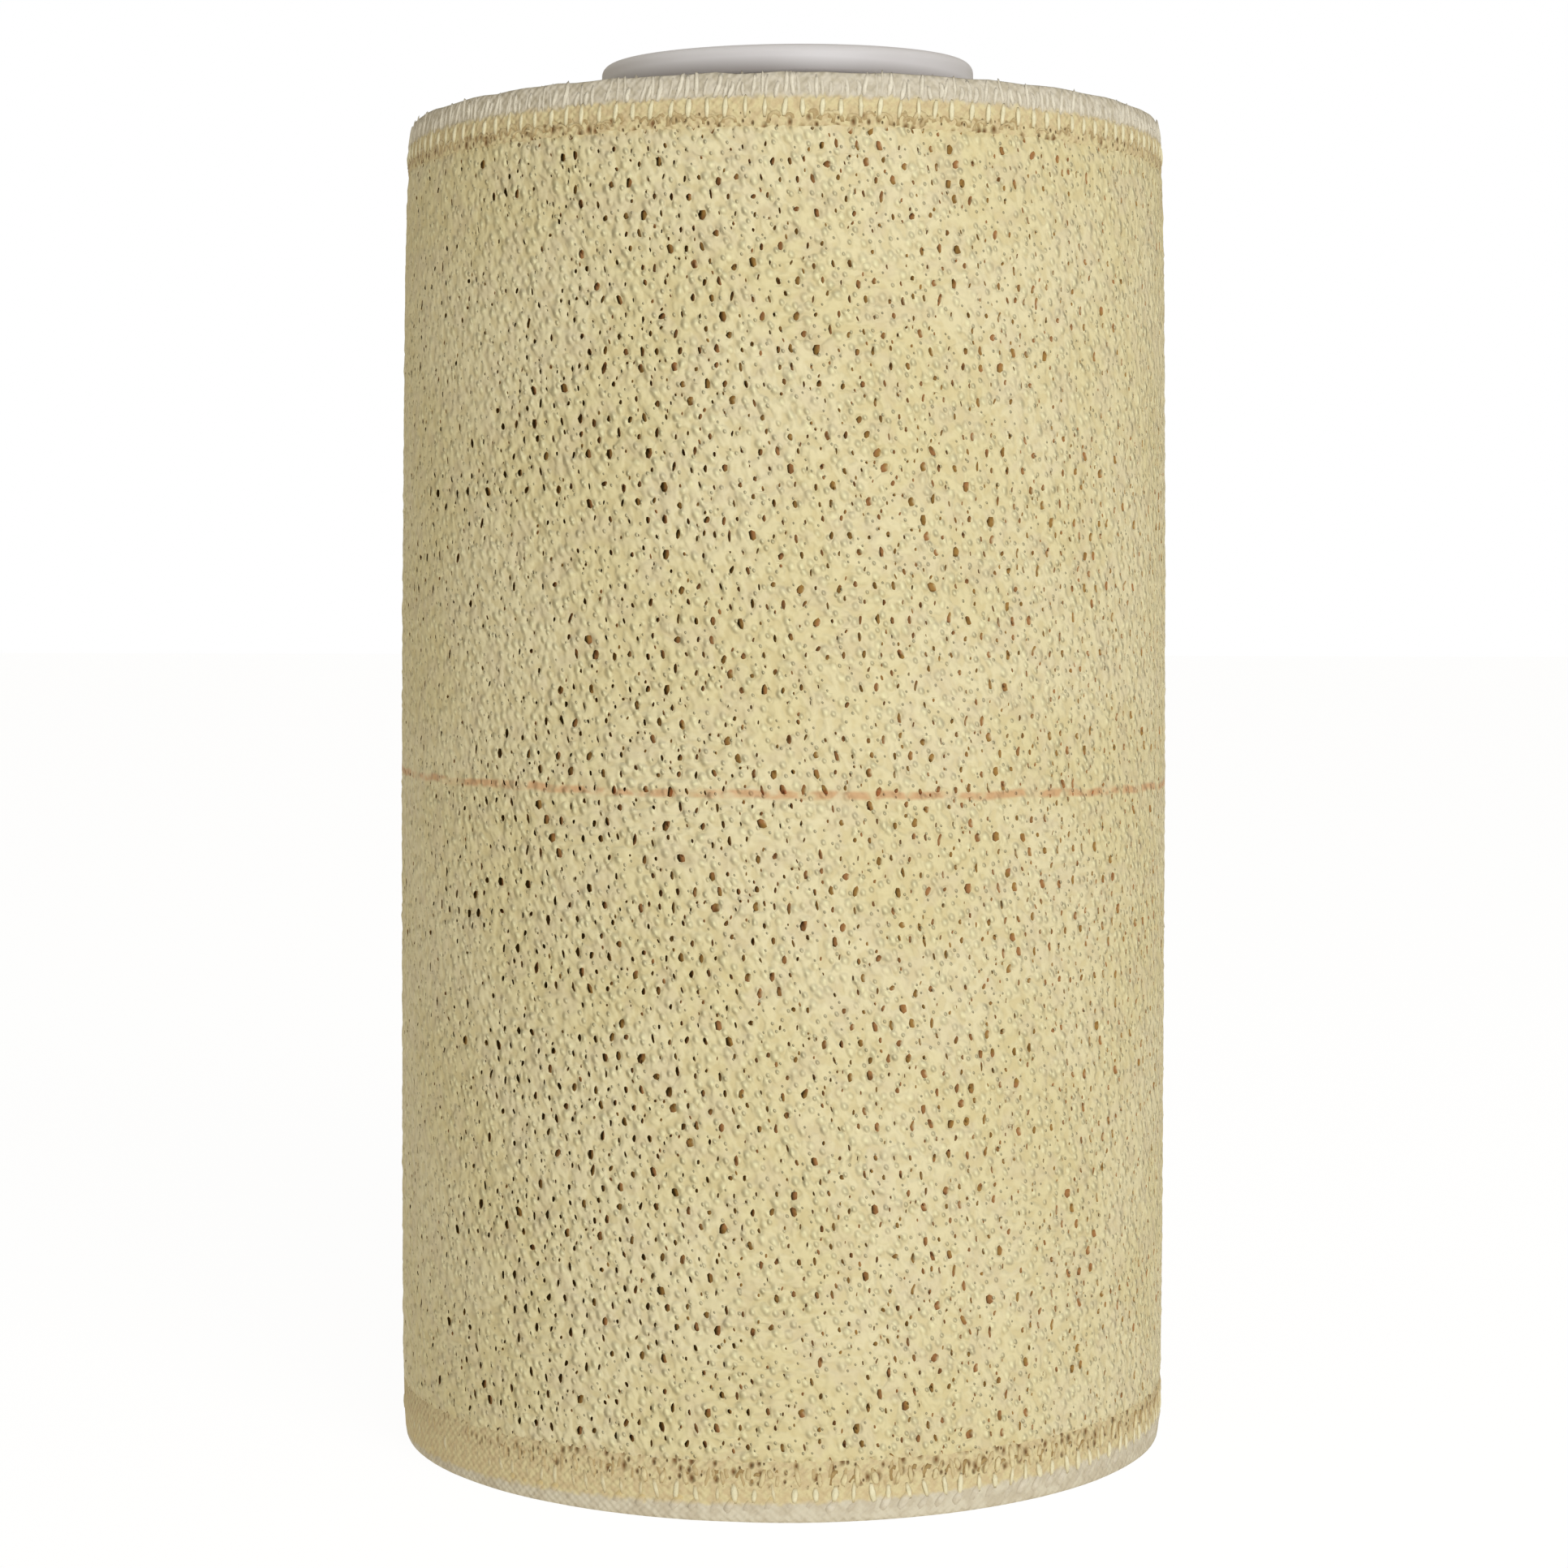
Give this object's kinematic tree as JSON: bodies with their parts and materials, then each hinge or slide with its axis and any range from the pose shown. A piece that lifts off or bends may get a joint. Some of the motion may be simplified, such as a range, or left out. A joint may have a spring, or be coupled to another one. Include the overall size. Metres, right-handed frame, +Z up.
{
  "type": "elastic adhesive bandage roll",
  "caption": "Elastic adhesive bandage wound into a roll on a plastic core, standing on its end, for strapping and support.",
  "frame": {"origin": "on the core's axis, in the plane that the roll stands on", "axes": "+Z up along the core's axis, towards the core's lip; -Y towards the front; the cloth's cut end is at the back, +Y"},
  "size_m": [0.059, 0.0594, 0.1046],
  "materials": {
    "bandage_cloth": "crepe cloth under a matt, porous, tan adhesive coat",
    "core_plastic": "moulded, satin, off-white"
  },
  "bodies": {
    "root": {"bandage_winding": "bandage_cloth", "core_tube": "core_plastic"}
  },
  "joints": []
}
